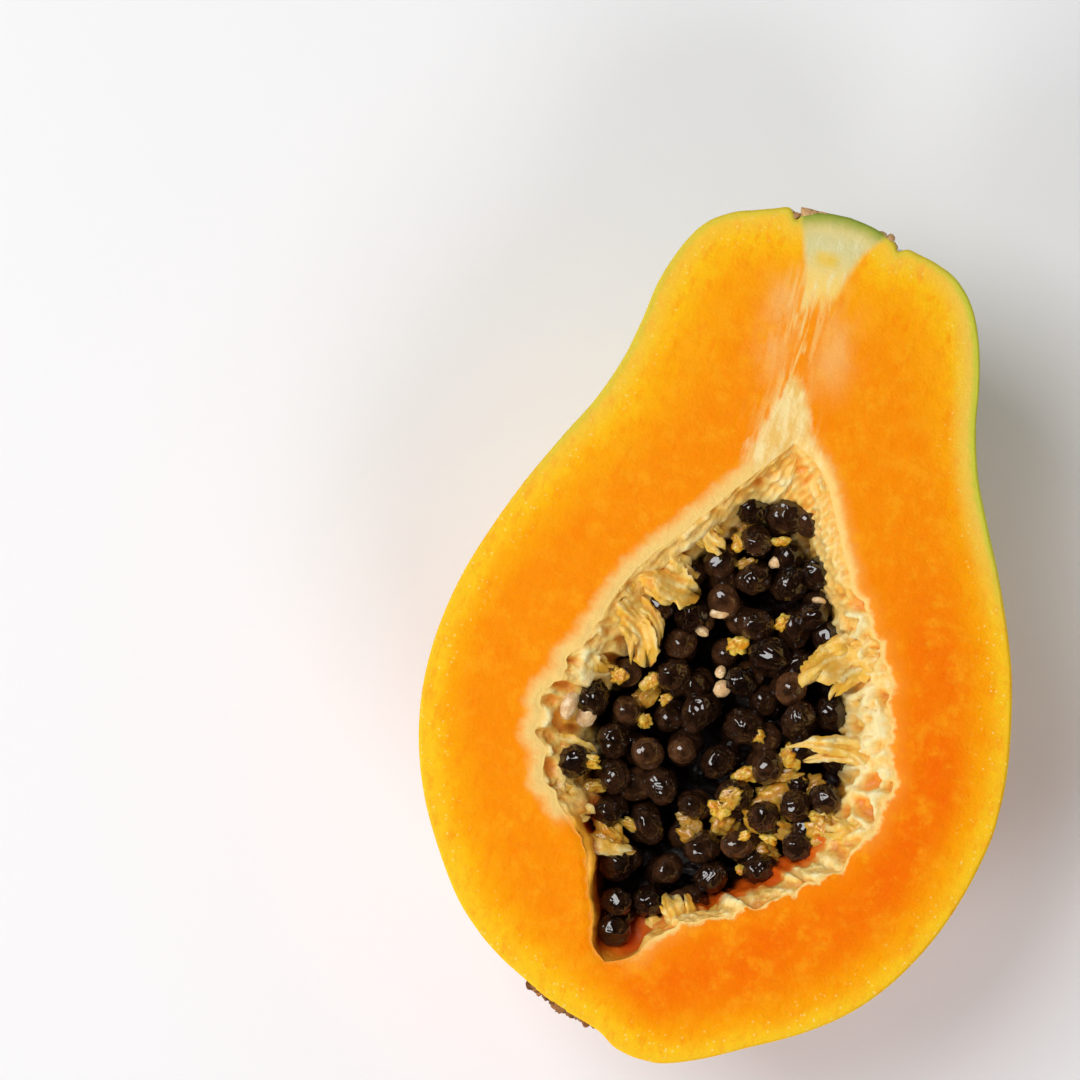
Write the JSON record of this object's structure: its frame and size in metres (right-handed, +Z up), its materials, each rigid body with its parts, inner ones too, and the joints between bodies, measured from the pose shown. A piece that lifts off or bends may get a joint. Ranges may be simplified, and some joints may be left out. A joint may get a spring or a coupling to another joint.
{
  "type": "halved papaya",
  "caption": "Half of a ripe papaya cut lengthwise, lying on its round back, its hollow filled with dark seeds in a cream lining.",
  "frame": {"origin": "middle of the base of the bounding box, on the surface that the fruit lies on", "axes": "+Z up and square to the cut face; +Y along the fruit towards the stem end; +X to the right when looking down with the stem end away"},
  "size_m": [0.0962, 0.1411, 0.046],
  "materials": {
    "flesh": "moist orange flesh with a yellow-green skin",
    "seed_coat": "wet, dark brown to black"
  },
  "bodies": {
    "root": {"papaya_half": "flesh", "seed_mass": "seed_coat"}
  },
  "joints": []
}
